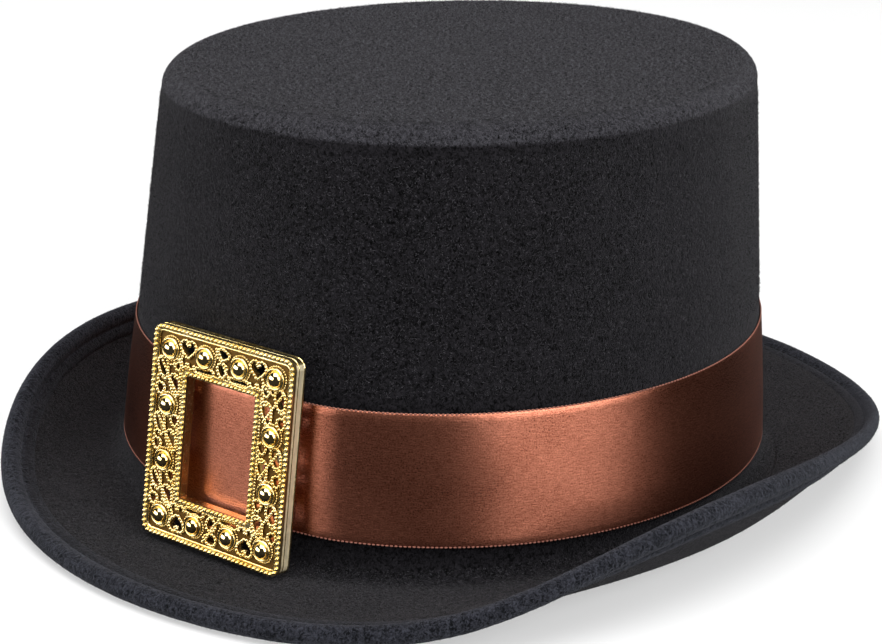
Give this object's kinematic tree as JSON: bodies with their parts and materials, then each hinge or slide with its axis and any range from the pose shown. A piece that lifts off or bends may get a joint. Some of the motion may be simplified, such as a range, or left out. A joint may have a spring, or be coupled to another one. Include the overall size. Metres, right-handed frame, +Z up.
{
  "type": "top hat",
  "caption": "Felt top hat with curled oval brim, bound edge, wide satin band and pierced gilt buckle at the front; a head opening below.",
  "frame": {"origin": "middle of the bounding box, at the level of the surface that the brim rests on", "axes": "+Z up through the crown, -Y towards the front with the buckle, +X towards the wearer's left"},
  "size_m": [0.2512, 0.3033, 0.1298],
  "materials": {
    "felt": "soft short-napped wool felt, matt charcoal",
    "binding_tape": "fine ribbed tape, matt",
    "wire_steel": "drawn wire",
    "thread": "spun sewing thread",
    "satin": "copper-brown satin ribbon with picot edges",
    "gilt_metal": "bright yellow-gold plating over cast filigree",
    "adhesive": "set hot-melt adhesive",
    "sweatband_leather": "thin black leather, fine grain",
    "lining_cloth": "plain black lining cloth, slight sheen",
    "label_cloth": "blank woven tab"
  },
  "bodies": {
    "root": {"crown_felt": "felt", "brim_felt": "felt", "edge_binding": "binding_tape", "brim_wire": "wire_steel", "binding_seam_top": "thread", "binding_seam_under": "thread", "hatband": "satin", "buckle_frame": "gilt_metal", "buckle_stud_01": "gilt_metal", "buckle_stud_02": "gilt_metal", "buckle_stud_03": "gilt_metal", "buckle_stud_04": "gilt_metal", "buckle_stud_05": "gilt_metal", "buckle_stud_06": "gilt_metal", "buckle_stud_07": "gilt_metal", "buckle_stud_08": "gilt_metal", "buckle_stud_09": "gilt_metal", "buckle_stud_10": "gilt_metal", "buckle_stud_11": "gilt_metal", "buckle_stud_12": "gilt_metal", "buckle_pad_left": "adhesive", "buckle_pad_right": "adhesive", "sweatband": "sweatband_leather", "sweatband_reed": "sweatband_leather", "sweatband_seam": "thread", "sweatband_bow": "satin", "size_tab": "label_cloth", "lining_side": "lining_cloth", "lining_tip": "lining_cloth"}
  },
  "joints": []
}
